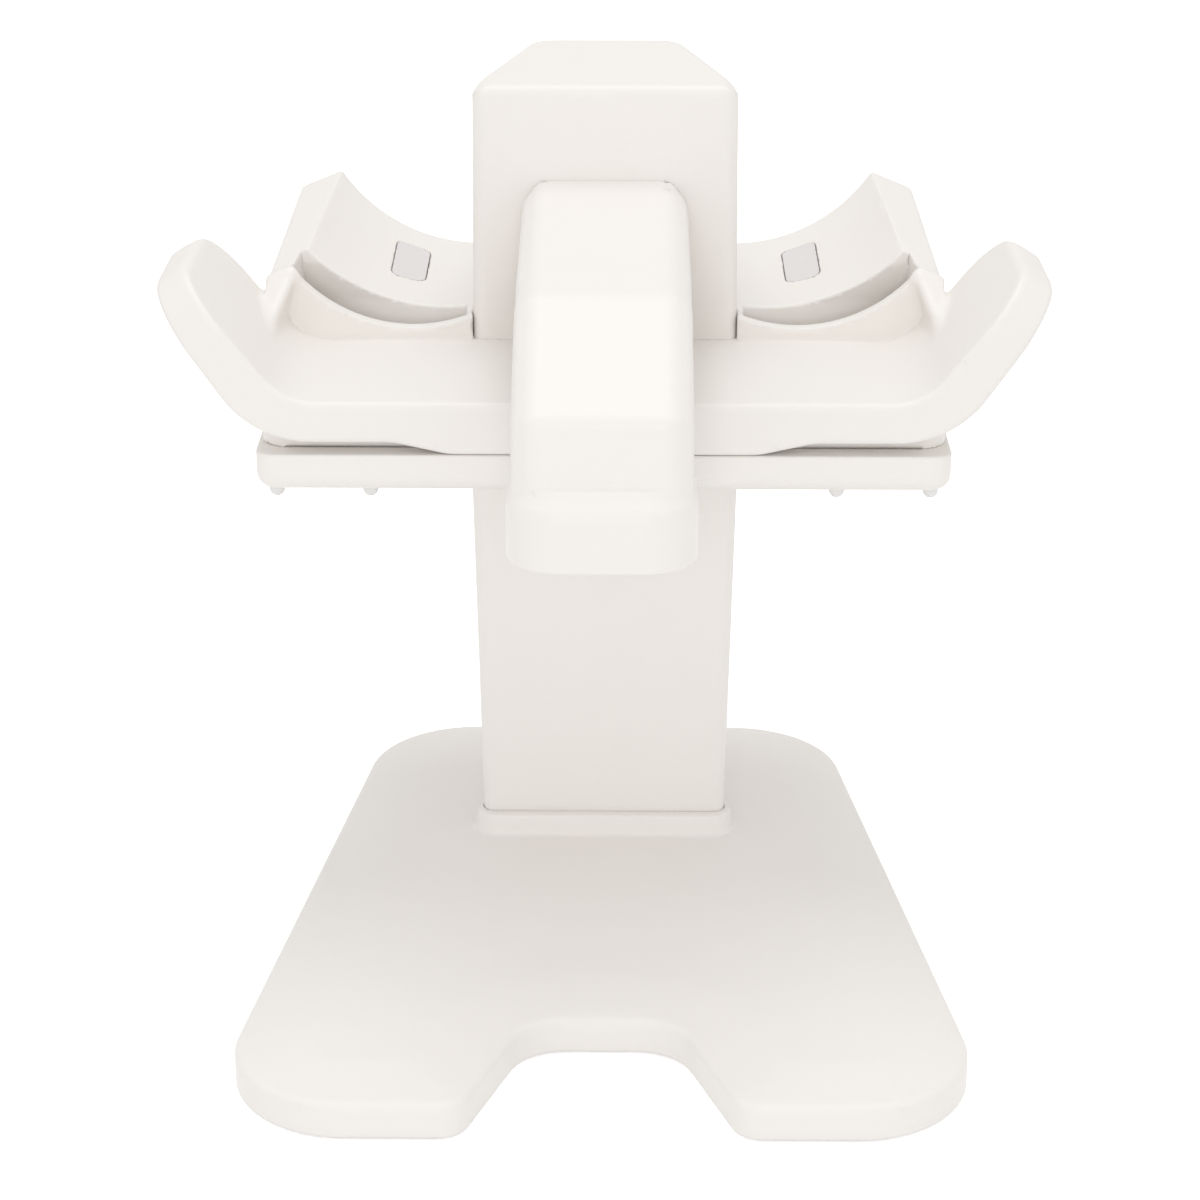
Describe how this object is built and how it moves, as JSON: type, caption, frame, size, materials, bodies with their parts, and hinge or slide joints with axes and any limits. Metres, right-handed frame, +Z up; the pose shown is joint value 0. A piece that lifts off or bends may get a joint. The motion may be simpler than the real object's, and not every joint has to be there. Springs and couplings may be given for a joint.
{
  "type": "virtual reality headset stand",
  "caption": "Table stand with a column, an arm that holds a headset, two cradles with upturned wings for the hand controllers and a base with two toes.",
  "frame": {"origin": "on the table, under the middle of the stand's outer box", "axes": "+Z up, -Y towards the front where the headset arm points, +X to the right as seen from the front"},
  "size_m": [0.2592, 0.249, 0.262],
  "materials": {
    "white_shell": "fine satin moulded plastic",
    "grey_inlay": "smooth pale grey inlay",
    "clear_peg": "milky soft plastic",
    "foot_rubber": "matt grey rubber",
    "screw_steel": "zinc plated"
  },
  "bodies": {
    "root": {"base_shell": "white_shell", "base_bottom_plate": "white_shell", "foot_pad_front_left": "foot_rubber", "foot_pad_front_right": "foot_rubber", "foot_pad_rear_left": "foot_rubber", "foot_pad_rear_right": "foot_rubber", "base_screws": "screw_steel", "column_tube": "white_shell", "column_foot_screws": "screw_steel", "column_head_screws": "screw_steel", "tray_lower_plate": "white_shell", "hook_peg_outer_left": "clear_peg", "hook_peg_inner_left": "clear_peg", "hook_peg_inner_right": "clear_peg", "hook_peg_outer_right": "clear_peg", "tray_upper_shell": "white_shell", "cradle_pad_left": "grey_inlay", "cradle_pad_right": "grey_inlay", "tray_screws": "screw_steel", "head_hood": "white_shell", "head_screws": "screw_steel", "headset_arm": "white_shell", "arm_cover": "white_shell", "arm_root_screws": "screw_steel", "arm_cover_screws": "screw_steel"}
  },
  "joints": []
}
